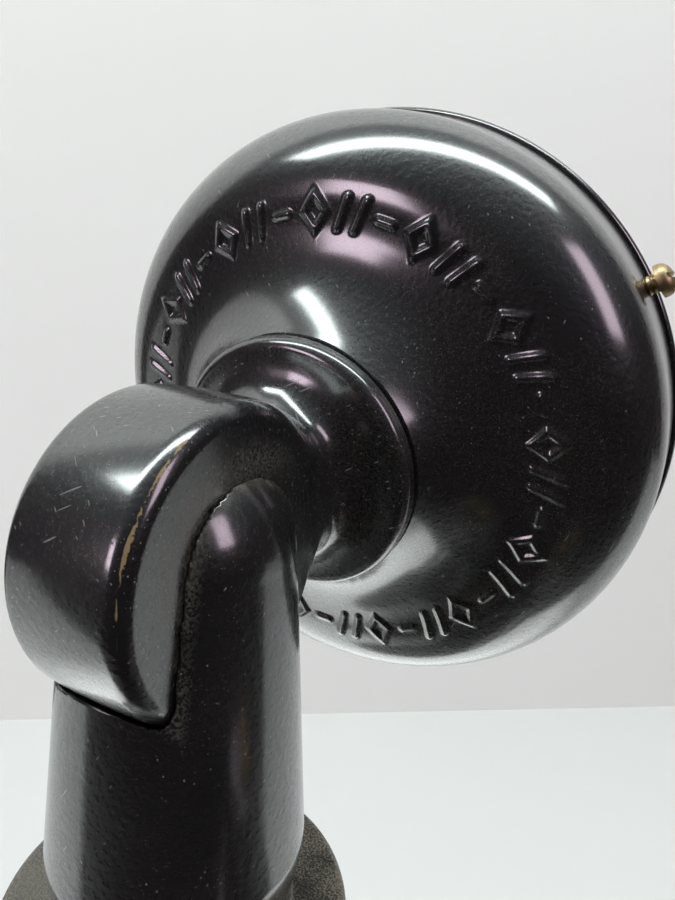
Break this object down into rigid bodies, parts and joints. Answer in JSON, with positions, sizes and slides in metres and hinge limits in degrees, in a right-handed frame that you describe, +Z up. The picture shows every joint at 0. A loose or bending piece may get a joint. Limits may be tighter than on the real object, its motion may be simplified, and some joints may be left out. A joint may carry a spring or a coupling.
{
  "type": "desk-stand telephone",
  "caption": "Upright desk-stand telephone: tilting transmitter with horn mouthpiece on a round stem and base, receiver hung in a sprung fork.",
  "frame": {"origin": "centre of the base's underside", "axes": "+Z up along the stem; the mouthpiece faces -Y; the receiver hangs on the -X side"},
  "size_m": [0.1505, 0.1613, 0.2981],
  "materials": {
    "black_japan": "gloss",
    "brass": "satin",
    "steel": "satin",
    "spring_brass": "satin",
    "hard_rubber": "gloss",
    "aluminium_sheet": "satin",
    "rubber": "matte",
    "fibre": "matte",
    "felt": "matte",
    "carbon": "matte",
    "mica": "clear",
    "copper_coil": "satin",
    "magnet_steel": "matte"
  },
  "bodies": {
    "stand": {"base_shell": "black_japan", "base_plate": "steel", "base_pad": "felt", "base_plate_screws": "steel", "line_cord_bushing": "rubber", "receiver_cord_bushing": "rubber", "terminal_block": "fibre", "terminal_screws": "brass", "terminal_block_screws": "steel", "stem_nut": "brass", "stem_collar": "black_japan", "stem_tube": "black_japan", "stem_head": "black_japan", "stem_head_grub_screws": "steel", "pivot_screw": "black_japan", "friction_washer": "steel", "switch_frame": "brass", "switch_frame_screws": "black_japan", "hook_pivot_pin": "steel", "fixed_contact_spring": "spring_brass", "moving_contact_spring": "spring_brass", "return_spring": "steel", "stack_insulators": "fibre", "stack_screws": "steel"},
    "transmitter": {"tilting_lug": "black_japan", "lug_screws": "steel", "transmitter_cup": "black_japan", "faceplate": "black_japan", "rim_screws": "brass", "mouthpiece": "hard_rubber", "diaphragm": "aluminium_sheet", "diaphragm_gasket": "rubber", "transmitter_bridge": "brass", "bridge_screws": "steel", "carbon_button_case": "brass", "button_nut": "brass", "rear_electrode": "carbon", "front_electrode": "carbon", "mica_washer": "mica", "electrode_nut": "brass", "damping_springs": "steel", "damping_pads": "rubber", "damping_screws": "steel"},
    "hook": {"hook_lever": "black_japan", "hook_cam": "fibre"},
    "receiver": {"receiver_shell": "hard_rubber", "ear_cap": "hard_rubber", "receiver_diaphragm": "steel", "receiver_magnet": "magnet_steel", "receiver_mounting_plate": "brass", "pole_pieces": "magnet_steel", "receiver_coils": "copper_coil", "receiver_terminals": "brass"}
  },
  "joints": [
    {"name": "transmitter_tilt", "type": "hinge", "parent": "stand", "child": "transmitter", "pos_m": [0, 0, 0.25], "axis": [-1, 0, 0], "range_deg": [-15, 35]},
    {"name": "hook_lift", "type": "hinge", "parent": "stand", "child": "hook", "pos_m": [0.003, 0, 0.188], "axis": [0, 1, 0], "range_deg": [0, 7], "stiffness_Nm_per_rad": 0.15, "springref_deg": 17.19, "deforming": ["moving_contact_spring", "return_spring"]},
    {"name": "receiver_lift_off", "type": "slide", "parent": "hook", "child": "receiver", "axis": [-0.9397, 0, 0.342], "range_m": [0, 0.06]}
  ]
}
